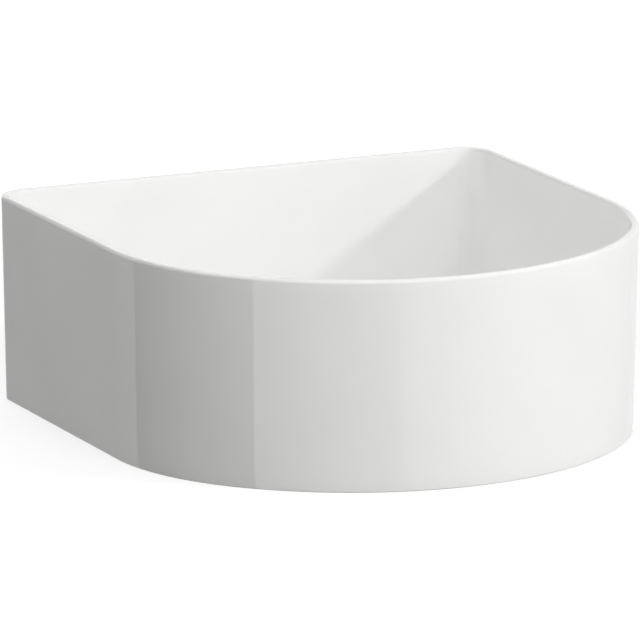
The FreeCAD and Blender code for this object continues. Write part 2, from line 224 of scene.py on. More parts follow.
class BasinFinishes(bpy.types.PropertyGroup):
    """Colours of the finishes, and where and how rough they are"""

    glaze: colour("Glaze", "Fired white glaze", (0.862, 0.862, 0.853))
    glaze_pale: colour("Glaze Pale", "Where the glaze lies thicker", (0.887, 0.887, 0.878))
    glaze_index: amount("Glaze Index", "Refractive index of the glaze", 1.8)
    glaze_start: length("Glaze Start", "Height over the counter where the bare foot ends", 0.25 * MM)
    glaze_full: length("Glaze Full", "Height over the counter where the glaze covers", 0.55 * MM)
    biscuit: colour("Biscuit", "Bare ceramic of the ground foot", (0.62, 0.57, 0.50))
    biscuit_rough: amount("Biscuit Roughness", "Roughness of the ground foot", 0.75)
    chrome: colour("Chrome", "Polished plating", (0.80, 0.81, 0.82))
    chrome_plain: length("Plain Chrome", "Height below which the plating is plain turned", 18 * MM)
    chrome_bright: length("Bright Chrome", "Height above which the plating is polished", 21 * MM)
    chrome_rough: amount("Plain Chrome Roughness", "Roughness of the plain turned plating", 0.24)
    brass: colour("Brass", "Bare turned brass", (0.62, 0.42, 0.16))
    brass_dull: colour("Dull Brass", "Brass that has been handled", (0.50, 0.33, 0.125))
    rubber: colour("Rubber", "Black moulded rubber", (0.020, 0.020, 0.022))
    rubber_bloom: colour("Rubber Bloom", "Pale bloom on the rubber", (0.055, 0.055, 0.058))
    acetal: colour("Acetal", "Natural white moulding", (0.72, 0.72, 0.69))
    acetal_cream: colour("Acetal Cream", "Where the moulding is clouded", (0.684, 0.6768, 0.621))
    steel: colour("Steel", "Drawn stainless wire and sheet", (0.50, 0.50, 0.51))


class BasinStage(bpy.types.PropertyGroup):
    """Camera and light"""

    azimuth: angle("Azimuth", "Camera round the basin from the front, to the right", -25.34)
    elevation: angle("Elevation", "Camera above the counter", 13.07)
    roll: angle("Roll", "Turn of the camera about its own axis", 0.09)
    distance: length("Distance", "Camera to the point that it looks at", 4769.3 * MM)
    sensor: amount("Sensor", "Width of the camera's frame in millimetres", 36.0)
    lens: amount("Lens", "Focal length in millimetres", 436.3)
    sight: length("Sight", "How far the camera sees", 100.0)
    look_at: FloatVectorProperty(
        name="Look At", description="Point in the middle of the picture", subtype="TRANSLATION",
        default=(-17.96 * MM, 12 * MM, 65.79 * MM),
    )
    sky: amount("Sky", "Strength of the even light from all round", 0.12)
    key: amount("Key", "Strength of the small light from the right", 0.741)
    key_azimuth: angle("Key Azimuth", "Key light round from the front, to the right", 50)
    key_slope: amount("Key Slope", "Rise of the key's shadow on the back wall, over its run", 0.645)
    key_angle: angle("Key Angle", "Width of the key light as the basin sees it", 5)
    soft_out: length("Soft Light Distance", "Basin to each soft light", 2.5)
    soft_size: length("Soft Light Size", "Side of each soft light", 1.5)
    front: amount("Front", "Power of the soft light low at the front", 17.7)
    front_azimuth: angle("Front Azimuth", "Front light round from the front, to the right", 30)
    front_elevation: angle("Front Elevation", "Front light above the counter", 5)
    upper: amount("Upper", "Power of the soft light high at the front", 26.6)
    upper_azimuth: angle("Upper Azimuth", "Upper light round from the front, to the right", 0)
    upper_elevation: angle("Upper Elevation", "Upper light above the counter", 35)
    left: amount("Left", "Power of the soft light on the left", 19.6)
    left_azimuth: angle("Left Azimuth", "Left light round from the front, to the right", -90)
    left_elevation: angle("Left Elevation", "Left light above the counter", 35)
    right: amount("Right", "Power of the soft light high on the right", 6.0)
    right_azimuth: angle("Right Azimuth", "Right light round from the front, to the right", 45)
    right_elevation: angle("Right Elevation", "Right light above the counter", 45)
    back: amount("Back", "Power of the soft light behind", 34.2)
    back_azimuth: angle("Back Azimuth", "Back light round from the front, to the right", 175)
    back_elevation: angle("Back Elevation", "Back light above the counter", 25)
    under: amount("Under", "Power of the soft light that shows the underside", 15.0)
    under_azimuth: angle("Under Azimuth", "Under light round from the front, to the right", 0)
    under_elevation: angle("Under Elevation", "Under light above the counter", -85)
    card_out: length("Card Distance", "Basin to the ring of cards that it mirrors", 6.0)
    card_edges: FloatVectorProperty(
        name="Card Edges", description="Round from the front to each join of the ring", size=7,
        unit="ROTATION", default=[math.radians(edge) for edge in (-175, -133, -62.7, -5, 59, 110, 185)],
    )
    card_levels: FloatVectorProperty(
        name="Card Levels", description="Brightness of each card of the ring, from the left", size=6,
        default=(0.40, 0.0, 0.705, 1.07, 1.07, 1.01),
    )
    floor: colour("Floor", "Floor's colour to rays that shouldn't find it white", (0.45, 0.45, 0.45))
    floor_glow: amount("Floor Glow", "White that the floor shows the camera under its shadow", 0.67)
    floor_near: length("Floor Near", "How far out the floor starts to fade into the white behind it", 0.4)
    floor_far: length("Floor Far", "How far out the floor has faded into the white behind it", 1.6)
    floor_shade: amount("Floor Shade", "Paleness of the floor's shadow", 0.4)
    floor_size: length("Floor Size", "Side of the floor", 60.0)
    floor_gap: length("Floor Gap", "Sealant's hairline between the floor and the foot", 0.2 * MM)


# Surfaces
def shares(count):
    """Even shares of a run from 0 to 1, both ends left out."""
    return np.linspace(0, 1, count + 2)[1:-1]


def arc(centre, radius, first, last, count):
    """Points of an arc in a plane: centre + radius (cos a, sin a), with a from first to last in radians."""
    turn = np.linspace(first, last, count)
    return np.stack([centre[0] + radius * np.cos(turn), centre[1] + radius * np.sin(turn)], axis=1)


def straight(start, end, count):
    """Points from start to end, both ends left out: start + t (end - start)."""
    return np.asarray(start) + shares(count)[:, None] * (np.asarray(end) - np.asarray(start))


def unit(ways):
    """Each direction, at a length of 1."""
    return ways / np.linalg.norm(ways, axis=1, keepdims=True)


def softened(corners, cuts):
    """A run of corners with each one rounded.

    A corner p with a cut c is left at a, c along the side before it, and rejoined at b, c along the side
    after it, on the curve (1 - t)^2 a + 2 t (1 - t) p + t^2 b. A cut of zero leaves a corner sharp, and
    both ends of an open run have one.
    """
    corners, cuts = np.asarray(corners, float), np.asarray(cuts, float)[:, None]
    a = corners + cuts * unit(np.roll(corners, 1, axis=0) - corners)
    b = corners + cuts * unit(np.roll(corners, -1, axis=0) - corners)
    t = np.linspace(0, 1, ROUND_POINTS)[None, :, None]
    curve = (1 - t) ** 2 * a[:, None] + 2 * t * (1 - t) * corners[:, None] + t ** 2 * b[:, None]
    points = curve.reshape(-1, 2)
    fresh = np.linalg.norm(np.diff(points, axis=0), axis=1) > SAME_PLACE
    return points[np.concatenate([[True], fresh])]


def lathed(profile, columns):
    """A profile of (radius, height) turned about the outlet's axis: (r cos a, r sin a, z)."""
    turn = np.linspace(0, WHOLE, columns, endpoint=False)[None, :]
    radius, height = profile[:, :1], profile[:, 1:]
    return np.stack([radius * np.cos(turn), radius * np.sin(turn), height + 0 * turn], axis=2)


def quads(rows, columns, closed):
    """Corner numbers of the faces of a grid whose columns wrap round, and whose rows do so where closed."""
    row = np.arange(rows if closed else rows - 1)[:, None]
    column = np.arange(columns)[None, :]
    below, beside = (row + 1) % rows, (column + 1) % columns
    return np.stack([
        row * columns + column, row * columns + beside,
        below * columns + beside, below * columns + column,
    ], axis=2).reshape(-1, 4)


def facing_out(points, faces):
    """The faces, turned over where the shell's signed volume, a sum of p . (q x r) / 6, is negative."""
    a, b, c, d = (points[faces[:, n]] for n in range(4))
    volume = np.einsum("ij,ij->", a, np.cross(b, c)) + np.einsum("ij,ij->", a, np.cross(c, d))
    return faces if volume > 0 else faces[:, ::-1]


def placed(name, data):
    """A new object in the scene, at the origin."""
    made = bpy.data.objects.new(name, data)
    bpy.context.scene.collection.objects.link(made)
    return made


def piece(name, shells, body, nodes, slot):
    """One piece made of closed shells, each a grid [row, column, xyz] with a flag for rows that wrap."""
    places, corners, count = [], [], 0
    for grid, closed in shells:
        points = grid.reshape(-1, 3)
        corners.append(facing_out(points, quads(grid.shape[0], grid.shape[1], closed)) + count)
        places.append(points)
        count += len(points)
    mesh = bpy.data.meshes.new(name)
    mesh.from_pydata(np.concatenate(places).tolist(), [], np.concatenate(corners).tolist())
    welded = bmesh.new()
    welded.from_mesh(mesh)
    bmesh.ops.remove_doubles(welded, verts=welded.verts, dist=WELD)
    welded.to_mesh(mesh)
    welded.free()
    mesh.shade_smooth()
    mesh.materials.append(finish_of(slot))
    made = placed(name, mesh)
    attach(made, body)
    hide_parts(*nodes)
    return made


# Bowl
def curved_part(centre, radius, first, last, count, joined=False):
    """Points of an arc, less the last where another arc joins it, and the way to the centre from each."""
    points = arc(centre, radius, first, last, count)[:-1 if joined else None]
    return points, (np.asarray(centre) - points) / radius


def straight_part(start, end, inward):
    """Points of a line, both ends left out, and the one direction inwards from it."""
    return straight(start, end, LINE_POINTS), np.tile(np.asarray(inward, float), (LINE_POINTS, 1))


def d_outline(bowl):
    """The rim's outer edge as points, with the level direction inwards at each.

    The flat back and the two straight sides are lines. The back corners, the shoulders and the front are
    arcs that meet on common tangents, so a wall at inset i is the same run moved i along that direction.
    """
    side, sweep = bowl.width / 2, bowl.shoulder_sweep
    shoulder, corner = bowl.shoulder_radius, bowl.corner_radius
    offset = side - shoulder
    front = shoulder + offset / math.cos(sweep)
    front_y = bowl.back - bowl.depth + front
    shoulder_y = front_y - offset * math.tan(sweep)
    corner_x, corner_y = side - corner, bowl.back - corner
    points, inward = zip(
        curved_part((-corner_x, corner_y), corner, QUARTER, HALF, CORNER_POINTS),
        straight_part((-side, corner_y), (-side, shoulder_y), (1, 0)),
        curved_part((-offset, shoulder_y), shoulder, HALF, HALF + sweep, SHOULDER_POINTS, joined=True),
        curved_part((0, front_y), front, HALF + sweep, WHOLE - sweep, FRONT_POINTS, joined=True),
        curved_part((offset, shoulder_y), shoulder, WHOLE - sweep, WHOLE, SHOULDER_POINTS),
        straight_part((side, shoulder_y), (side, corner_y), (-1, 0)),
        curved_part((corner_x, corner_y), corner, 0, QUARTER, CORNER_POINTS),
        straight_part((corner_x, bowl.back), (-corner_x, bowl.back), (0, -1)),
    )
    return np.concatenate(points), np.concatenate(inward)


def wall_section(bowl):
    """The wall as (inset, height): up from the floor's fillet, over the full-round rim, down to the foot."""
    rim_radius = bowl.rim_wall / 2
    rim_base = bowl.height - rim_radius
    lean, fillet = bowl.inner_draft, bowl.floor_fillet
    wall_inset = bowl.rim_wall + (rim_base - bowl.floor_height) * math.tan(lean)
    centre = (wall_inset + fillet * math.tan((QUARTER - lean) / 2), bowl.floor_height + fillet)
    floor_edge = arc(centre, fillet, HALF + QUARTER, HALF + lean, FILLET_POINTS)
    rim = arc((rim_radius, rim_base), rim_radius, 0, HALF, RIM_POINTS)
    outer_foot = rim_base * math.tan(bowl.outer_draft)
    inner_foot = outer_foot + bowl.foot_width
    ceiling = bowl.floor_height - bowl.floor_thickness
    foot = softened(
        [rim[-1], (outer_foot, 0), (inner_foot, 0), (inner_foot, ceiling),
         (inner_foot + bowl.foot_margin, ceiling)],
        [0, bowl.foot_round, bowl.foot_round, bowl.foot_fillet, 0],
    )
    return np.concatenate([
        floor_edge, straight(floor_edge[-1], rim[0], INSIDE_ROWS), rim[:-1],
        foot[:1], straight(foot[0], foot[1], OUTSIDE_ROWS), foot[1:],
    ])


def outlet_section(bowl):
    """The outlet as (radius, height): in under the boss, up the hole and its seat, and out to the dish."""
    ceiling = bowl.floor_height - bowl.floor_thickness
    top = bowl.floor_height - bowl.dish_depth
    seat = top - bowl.seat_depth
    return softened(
        [(bowl.boss_radius + bowl.outlet_margin, ceiling), (bowl.boss_radius, ceiling),
         (bowl.boss_radius, bowl.boss_height), (bowl.outlet_radius, bowl.boss_height),
         (bowl.outlet_radius, seat), (bowl.seat_radius, seat),
         (bowl.seat_rim_radius, top), (bowl.seat_rim_radius + bowl.outlet_margin, top)],
        [0, bowl.boss_fillet, bowl.boss_round, bowl.outlet_round,
         bowl.outlet_round, bowl.outlet_round, bowl.seat_rim_round, 0],
    )[:-1]


def bowl_grid(bowl):
    """The whole bowl as one grid, closed both ways.

    Its rows follow the wall's section on the D, then run level under the floor to the boss, up through the
    outlet and its seat, and out over the dished floor to the D again. The dish is level where it starts, at
    radius d, and falls on an arc of radius R: z = floor - R + sqrt(R^2 - (d - r)^2).
    """
    path, inward = d_outline(bowl)
    wall = wall_section(bowl)
    level = path[None] + wall[:, :1, None] * inward[None]
    height = np.broadcast_to(wall[:, 1, None, None], level.shape[:2] + (1,))
    on_wall = np.concatenate([level, height], axis=2)

    floor_edge = on_wall[0, :, :2]
    reach = np.linalg.norm(floor_edge, axis=1)
    out = floor_edge / reach[:, None]
    outlet = outlet_section(bowl)
    radius, height = outlet[:, :1], outlet[:, 1:]
    on_outlet = np.stack([radius * out[:, 0], radius * out[:, 1], height + 0 * reach], axis=2)
    under = on_wall[-1] + shares(UNDERSIDE_ROWS)[:, None, None] * (on_outlet[0] - on_wall[-1])

    radius = outlet[-1, 0] + shares(FLOOR_ROWS)[:, None] * (reach - outlet[-1, 0])
    run = bowl.dish_radius - bowl.seat_rim_radius
    bend = (run ** 2 + bowl.dish_depth ** 2) / (2 * bowl.dish_depth)
    inside = np.clip(bowl.dish_radius - radius, 0, run)
    height = bowl.floor_height - bend + np.sqrt(bend ** 2 - inside ** 2)
    floor = np.stack([radius * out[:, 0], radius * out[:, 1], height], axis=2)
    return np.concatenate([on_wall, under, on_outlet, floor])


# Waste and plug
def thread_stretch(waste, top, low, end):
    """Rows of (radius, height) from top down to low, and the share of the thread's depth cut at each.

    The cut runs in below top and out above end, each over a lead l: min(top - z, z - end) / l, from 0 to 1.
    """
    height = np.arange(top, low, -waste.thread_pitch / THREAD_ROWS)
    cut = np.clip(np.minimum(top - height, height - end) / waste.thread_lead, 0, 1)
    return np.stack([np.full_like(height, waste.thread_radius), height], axis=1), cut


def threaded(profile, cut, waste):
    """A turned profile with a screw thread as deep as cut says, for the angle a in turns:

    r = profile - depth cut (1 - cos(2 pi (z / pitch - a))) / 2.
    """
    grid = lathed(profile, TAIL_COLUMNS)
    turn = np.linspace(0, 1, TAIL_COLUMNS, endpoint=False)[None, :]
    wave = (1 - np.cos(WHOLE * (grid[:, :, 2] / waste.thread_pitch - turn))) / 2
    shrink = 1 - waste.thread_depth * cut[:, None] * wave / profile[:, :1]
    grid[:, :, :2] *= shrink[:, :, None]
    return grid


def tail_grid(waste):
    """The flange and the tail as one shell: up the bore, over the flange and down the threaded outside."""
    lip = waste.flange_radius - waste.flange_lip
    skirt = waste.flange_radius - (waste.flange_top - waste.flange_under)
    seat_foot = waste.flange_top - waste.seat_drop
    inside = softened(
        [(waste.bore_radius, waste.tail_end), (waste.bore_radius, seat_foot - waste.throat_drop),
         (waste.seat_inner_radius, seat_foot), (lip, waste.flange_top),
         (waste.flange_radius, waste.flange_top), (skirt, waste.flange_under),
         (waste.thread_radius, waste.flange_under)],
        [0, waste.throat_round, waste.seat_round, waste.lip_round, waste.edge_round, waste.under_round, 0],
    )
    crest, root = waste.thread_radius, waste.thread_radius - waste.relief_depth
    relief_low = waste.relief_top - waste.relief_height
    relief = np.array([
        (crest, waste.relief_top), (root, waste.relief_top - waste.relief_slope),
        (root, relief_low + waste.relief_slope), (crest, relief_low),
    ])
    tip = waste.tail_end + waste.tail_tip
    end = np.array([(crest - waste.tail_step, tip), (crest - waste.tail_bevel, waste.tail_end)])
    thread_top = waste.flange_under - waste.thread_neck
    upper, upper_cut = thread_stretch(waste, thread_top, waste.relief_top, waste.relief_top)
    lower, lower_cut = thread_stretch(waste, relief_low, tip, waste.tail_end)
    profile = np.concatenate([inside, upper, relief, lower[1:], end])
    cut = np.concatenate([
        np.zeros(len(inside)), upper_cut, np.zeros(len(relief)), lower_cut[1:], np.zeros(len(end)),
    ])
    return threaded(profile, cut, waste)


def hub_grid(waste):
    """The ring that the bars carry: a rounded rectangle of (radius, height), turned."""
    low, high = waste.hub_top - waste.hub_height, waste.hub_top
    section = softened(
        [(waste.hub_bore, low), (waste.hub_radius, low), (waste.hub_radius, high), (waste.hub_bore, high)],
        [waste.hub_round] * 4,
    )
    return lathed(section, HUB_COLUMNS)


def bar_grid(waste, turn):
    """A cross-bar: a rounded rectangle (y, z) drawn along x, closed to a point at each end, then turned."""
    half, reach = waste.bar_width / 2, waste.bore_radius + waste.bar_root
    middle = waste.hub_top - waste.hub_height / 2
    low, high = middle - waste.bar_height / 2, middle + waste.bar_height / 2
    section = softened([(-half, low), (half, low), (half, high), (-half, high)], [waste.bar_round] * 4)
    size = np.array([0, 1, 1, 0])[:, None]
    x = np.array([-reach, -reach, reach, reach])[:, None] + 0 * section[None, :, 0]
    y = size * section[None, :, 0]
    z = middle + size * (section[None, :, 1] - middle)
    cos, sin = math.cos(turn), math.sin(turn)
    return np.stack([x * cos - y * sin, x * sin + y * cos, z], axis=2)


def cap_profile(waste):
    """The cap as (radius, height): its hollow underside, an upright edge, a round and a shallow crown.

    The crown is an arc through the axis at the top and the end of the round: z = top - R + sqrt(R^2 - r^2).
    """
    edge = waste.cap_under + waste.cap_edge
    socket_top = waste.cap_under + waste.socket_depth
    brow = waste.cap_radius - waste.cap_round
    under = softened(
        [(0, socket_top), (waste.socket_radius, socket_top), (waste.socket_radius, waste.cap_under),
         (waste.cap_radius, waste.cap_under), (waste.cap_radius, edge)],
        [0, waste.socket_fillet, waste.socket_round, waste.cap_foot_round, 0],
    )
    side = arc((brow, edge), waste.cap_round, 0, QUARTER, CAP_ROUND_POINTS)
    fall = waste.cap_top - edge - waste.cap_round
    bend = (brow ** 2 + fall ** 2) / (2 * fall)
    radius = brow * np.linspace(1, 0, CROWN_ROWS)[1:]
    crown = np.stack([radius, waste.cap_top - bend + np.sqrt(bend ** 2 - radius ** 2)], axis=1)
    return np.concatenate([under, side[1:], crown])


def spring_grid(waste):
    """A round wire on a helix of radius R: (R cos a, R sin a, z).

    z rises by the closed pitch over the turns that lie closed at each end, and evenly over those between.
    """
    wire = waste.spring_wire / 2
    coil = spring_high.x - wire
    turns, flat, pitch = waste.spring_turns, waste.spring_flat, waste.spring_wire * waste.spring_closed
    share = np.linspace(0, turns, turns * SPRING_POINTS)
    closed = np.minimum(share, flat) + np.maximum(share - turns + flat, 0)
    opened = np.clip((share - flat) / (turns - 2 * flat), 0, 1)
    rise = spring_high.z - spring_low.z - 2 * wire - 2 * flat * pitch
    turn = WHOLE * share
    out = np.stack([np.cos(turn), np.sin(turn), 0 * turn], axis=1)
    centre = coil * out
    centre[:, 2] = spring_low.z + wire + pitch * closed + rise * opened
    across = np.cross(unit(np.gradient(centre, axis=0)), out)
    ring = np.linspace(0, WHOLE, WIRE_COLUMNS, endpoint=False)[None, :, None]
    tube = centre[:, None] + wire * (np.cos(ring) * out[:, None] + np.sin(ring) * across[:, None])
    tips = np.repeat(centre[[0, -1], None], WIRE_COLUMNS, axis=1)
    return np.concatenate([tips[:1], tube, tips[1:]])


# Finishes
def new_finish(name):
    """A node material with a Principled shader, and the Object coordinates that its patterns read."""
    made = bpy.data.materials.new(FINISH_NAME + name)
    made.use_nodes = True
    tree = made.node_tree
    where = tree.nodes.new("ShaderNodeTexCoord").outputs["Object"]
    return made, tree, tree.nodes["Principled BSDF"], where


def noise(tree, where, scale, detail=3.0, stretch=None):
    """Soft noise at a number of features per metre, stretched by a Mapping node where asked."""
    if stretch is not None:
        mapping = tree.nodes.new("ShaderNodeMapping")
        mapping.inputs["Scale"].default_value = stretch
        tree.links.new(where, mapping.inputs["Vector"])
        where = mapping.outputs["Vector"]
    texture = tree.nodes.new("ShaderNodeTexNoise")
    texture.inputs["Scale"].default_value = scale
    texture.inputs["Detail"].default_value = detail
    tree.links.new(where, texture.inputs["Vector"])
    return texture.outputs["Fac"]


def spread(tree, value, low, high, to_low=0.0, to_high=1.0):
    """A value remapped from one range to another, and held at the ends."""
    ranged = tree.nodes.new("ShaderNodeMapRange")
    for socket, number in zip(("From Min", "From Max", "To Min", "To Max"), (low, high, to_low, to_high)):
        ranged.inputs[socket].default_value = number
    tree.links.new(value, ranged.inputs["Value"])
    return ranged.outputs["Result"]


def blended(tree, share, first, second):
    """A colour between two, each a plain colour or another node's output."""
    mixed = tree.nodes.new("ShaderNodeMix")
    mixed.data_type = "RGBA"
    tree.links.new(share, mixed.inputs["Factor"])
    for place, value in zip(MIX_COLOURS, (first, second)):
        if isinstance(value, bpy.types.NodeSocket):
            tree.links.new(value, mixed.inputs[place])
        else:
            mixed.inputs[place].default_value = (*value, 1.0)
    return mixed.outputs[MIX_COLOUR]


def between(tree, share, first, second):
    """A number between a plain one, where share is 0, and another node's output, where it is 1."""
    mixed = tree.nodes.new("ShaderNodeMix")
    mixed.data_type = "FLOAT"
    tree.links.new(share, mixed.inputs["Factor"])
    plain, linked = MIX_NUMBERS
    mixed.inputs[plain].default_value = first
    tree.links.new(second, mixed.inputs[linked])
    return mixed.outputs[MIX_NUMBER]


def bumped(tree, shader, height, depth):
    """Relief of a stated depth in metres on a shader."""
    bump = tree.nodes.new("ShaderNodeBump")
    bump.inputs["Strength"].default_value = 1.0
    bump.inputs["Distance"].default_value = depth
    tree.links.new(height, bump.inputs["Height"])
    tree.links.new(bump.outputs["Normal"], shader.inputs["Normal"])


def height_above(tree, where):
    """Height over the counter."""
    parts = tree.nodes.new("ShaderNodeSeparateXYZ")
    tree.links.new(where, parts.inputs["Vector"])
    return parts.outputs["Z"]


def darker(rgb, share):
    """A colour at a share of its brightness."""
    return tuple(share * part for part in rgb)


def bowl_glaze(colours):
    """White glaze, a little uneven where it pooled, that stops short of the ground biscuit foot."""
    made, tree, shader, where = new_finish("bowl_glaze")
    cloudy = spread(tree, noise(tree, where, scale=14.0), low=0.35, high=0.65)
    glaze = blended(tree, cloudy, colours.glaze, colours.glaze_pale)
    speckle = spread(tree, noise(tree, where, scale=900.0, detail=2.0), low=0.3, high=0.7)
    biscuit = blended(tree, speckle, colours.biscuit, darker(colours.biscuit, share=0.82))
    glazed = spread(tree, height_above(tree, where), low=colours.glaze_start, high=colours.glaze_full)
    tree.links.new(blended(tree, glazed, biscuit, glaze), shader.inputs["Base Color"])
    smooth = spread(tree, noise(tree, where, scale=35.0), low=0.3, high=0.7, to_low=0.02, to_high=0.035)
    tree.links.new(between(tree, glazed, colours.biscuit_rough, smooth), shader.inputs["Roughness"])
    bumped(tree, shader, noise(tree, where, scale=120.0, detail=2.0), depth=0.006 * MM)
    shader.inputs["IOR"].default_value = colours.glaze_index
    return made


def waste_chrome(colours):
    """Bright plating, polished on the flange and plain turned on the tail, with faint turning marks."""
    made, tree, shader, where = new_finish("waste_chrome")
    shader.inputs["Metallic"].default_value = 1.0
    shade = spread(tree, noise(tree, where, scale=60.0), low=0.35, high=0.65)
    plating = blended(tree, shade, darker(colours.chrome, share=0.90), colours.chrome)
    tree.links.new(plating, shader.inputs["Base Color"])
    polished = spread(tree, height_above(tree, where), low=colours.chrome_plain, high=colours.chrome_bright)
    rough = spread(tree, noise(tree, where, scale=500.0), low=0.3, high=0.7, to_low=0.05, to_high=0.11)
    tree.links.new(between(tree, polished, colours.chrome_rough, rough), shader.inputs["Roughness"])
    turned = noise(tree, where, scale=400.0, detail=2.0, stretch=(0.15, 0.15, 6.0))
    bumped(tree, shader, turned, depth=0.004 * MM)
    return made


def nut_brass(colours):
    """Bare brass with turning marks and duller patches where it has been handled."""
    made, tree, shader, where = new_finish("nut_brass")
    shader.inputs["Metallic"].default_value = 1.0
    patches = spread(tree, noise(tree, where, scale=110.0, detail=5.0), low=0.42, high=0.66)
    tree.links.new(blended(tree, patches, colours.brass, colours.brass_dull), shader.inputs["Base Color"])
    rough = spread(tree, patches, low=0.0, high=1.0, to_low=0.24, to_high=0.42)
    tree.links.new(rough, shader.inputs["Roughness"])
    turned = noise(tree, where, scale=700.0, stretch=(0.1, 0.1, 4.0))
    bumped(tree, shader, turned, depth=0.01 * MM)
    return made


def seal_rubber(colours):
    """Black rubber with a dusty bloom and a fine moulded grain."""
    made, tree, shader, where = new_finish("seal_rubber")
    bloom = spread(tree, noise(tree, where, scale=170.0, detail=5.0), low=0.40, high=0.72)
    tree.links.new(blended(tree, bloom, colours.rubber, colours.rubber_bloom), shader.inputs["Base Color"])
    rough = spread(tree, bloom, low=0.0, high=1.0, to_low=0.48, to_high=0.70)
    tree.links.new(rough, shader.inputs["Roughness"])
    bumped(tree, shader, noise(tree, where, scale=2500.0, detail=2.0), depth=0.02 * MM)
    return made


def white_plastic(colours):
    """Natural acetal: milky, faintly clouded, with a satin moulded skin."""
    made, tree, shader, where = new_finish("white_plastic")
    cloudy = spread(tree, noise(tree, where, scale=130.0), low=0.35, high=0.65)
    tree.links.new(blended(tree, cloudy, colours.acetal_cream, colours.acetal), shader.inputs["Base Color"])
    rough = spread(tree, noise(tree, where, scale=600.0), low=0.3, high=0.7, to_low=0.28, to_high=0.40)
    tree.links.new(rough, shader.inputs["Roughness"])
    bumped(tree, shader, noise(tree, where, scale=1800.0, detail=2.0), depth=0.008 * MM)
    return made


def spring_steel(colours):
    """Drawn stainless steel with fine streaks."""
    made, tree, shader, where = new_finish("spring_steel")
    shader.inputs["Metallic"].default_value = 1.0
    drawn = noise(tree, where, scale=900.0, detail=4.0, stretch=(0.3, 0.3, 3.0))
    streaks = spread(tree, drawn, low=0.35, high=0.65)
    wire = blended(tree, streaks, darker(colours.steel, share=0.78), colours.steel)
    tree.links.new(wire, shader.inputs["Base Color"])
    rough = spread(tree, streaks, low=0.0, high=1.0, to_low=0.34, to_high=0.22)
    tree.links.new(rough, shader.inputs["Roughness"])
    bumped(tree, shader, streaks, depth=0.004 * MM)
    return made


FINISHES = {make.__name__: make for make in (
    bowl_glaze, waste_chrome, nut_brass, seal_rubber, white_plastic, spring_steel,
)}


def finish_of(slot):
    """The material of one of the record's slots, made once."""
    return bpy.data.materials.get(FINISH_NAME + slot) or FINISHES[slot](bpy.context.scene.basin_finishes)


# Stage
def white_rays(tree):
    """1 for the rays that should find white: the camera's, mirror rays and rays through glass."""
    path = tree.nodes.new("ShaderNodeLightPath")
    total = path.outputs["Is Camera Ray"]
    for ray in ("Is Glossy Ray", "Is Transmission Ray"):
        both = tree.nodes.new("ShaderNodeMath")
        both.operation = "MAXIMUM"
        tree.links.new(total, both.inputs[0])
        tree.links.new(path.outputs[ray], both.inputs[1])
        total = both.outputs["Value"]
    return total


def shaders_mixed(tree, share, first, second):
    """One shader where share is 0 and the other where it is 1."""
    mixed = tree.nodes.new("ShaderNodeMixShader")
    tree.links.new(share, mixed.inputs[0])
    tree.links.new(first, mixed.inputs[1])
    tree.links.new(second, mixed.inputs[2])
    return mixed.outputs["Shader"]


def floor_finish(stage):
    """Pale floor that the camera sees as white under the basin's soft shadow, and sees through from below."""
    made = bpy.data.materials.new("stage_floor")
    made.use_nodes = True
    tree = made.node_tree
    tree.nodes.remove(tree.nodes["Principled BSDF"])
    lit, shade = tree.nodes.new("ShaderNodeBsdfDiffuse"), tree.nodes.new("ShaderNodeBsdfDiffuse")
    lit.inputs["Color"].default_value = (*stage.floor, 1.0)
    shade.inputs["Color"].default_value = (stage.floor_shade,) * 3 + (1.0,)
    glow = tree.nodes.new("ShaderNodeEmission")
    out = tree.nodes.new("ShaderNodeVectorMath")
    out.operation = "LENGTH"
    tree.links.new(tree.nodes.new("ShaderNodeTexCoord").outputs["Object"], out.inputs[0])
    faded = spread(
        tree, out.outputs["Value"], low=stage.floor_near, high=stage.floor_far, to_low=stage.floor_glow,
    )
    tree.links.new(faded, glow.inputs["Strength"])
    seen = tree.nodes.new("ShaderNodeAddShader")
    tree.links.new(shade.outputs["BSDF"], seen.inputs[0])
    tree.links.new(glow.outputs["Emission"], seen.inputs[1])
    above = shaders_mixed(tree, white_rays(tree), lit.outputs["BSDF"], seen.outputs["Shader"])
    below = tree.nodes.new("ShaderNodeBsdfTransparent").outputs["BSDF"]
    side = tree.nodes.new("ShaderNodeNewGeometry").outputs["Backfacing"]
    tree.links.new(shaders_mixed(tree, side, above, below), tree.nodes["Material Output"].inputs["Surface"])
    return made


def board(name, places, faces, finish):
    """A thin sheet on the stage."""
    mesh = bpy.data.meshes.new(name)
    mesh.from_pydata(places, [], faces)
    mesh.materials.append(finish)
    made = placed(name, mesh)
    return made


def studio_floor(stage):
    """A level floor under the foot, which neither lights the basin nor shows in it."""
    half, low = stage.floor_size / 2, -stage.floor_gap
    corners = [(-half, -half, low), (half, -half, low), (half, half, low), (-half, half, low)]
    made = board("floor", corners, [(0, 1, 2, 3)], floor_finish(stage))
    made.visible_glossy = made.visible_diffuse = made.visible_shadow = False


def mirrored_card(name, stage, first, last, level):
    """An upright card, bent round the basin, that shows only in reflections: (R sin a, -R cos a, z)."""
    finish = bpy.data.materials.new(name)
    finish.use_nodes = True
    shader = finish.node_tree.nodes["Principled BSDF"]
    shader.inputs["Base Color"].default_value = BLACK
    shader.inputs["Specular IOR Level"].default_value = 0.0
    shader.inputs["Emission Color"].default_value = WHITE
    shader.inputs["Emission Strength"].default_value = level
    turn = np.linspace(first, last, CARD_COLUMNS + 1)
    edge = np.stack([np.sin(turn), -np.cos(turn), 0 * turn], axis=1)
    up = np.array([0, 0, 1])
    places = stage.card_out * np.concatenate([edge - up, edge + up])
    faces = np.arange(CARD_COLUMNS)[:, None] + np.array([0, 1, CARD_COLUMNS + 2, CARD_COLUMNS + 1])
    made = board(name, places.tolist(), faces.tolist(), finish)
    made.visible_camera = made.visible_diffuse = made.visible_shadow = made.visible_transmission = False


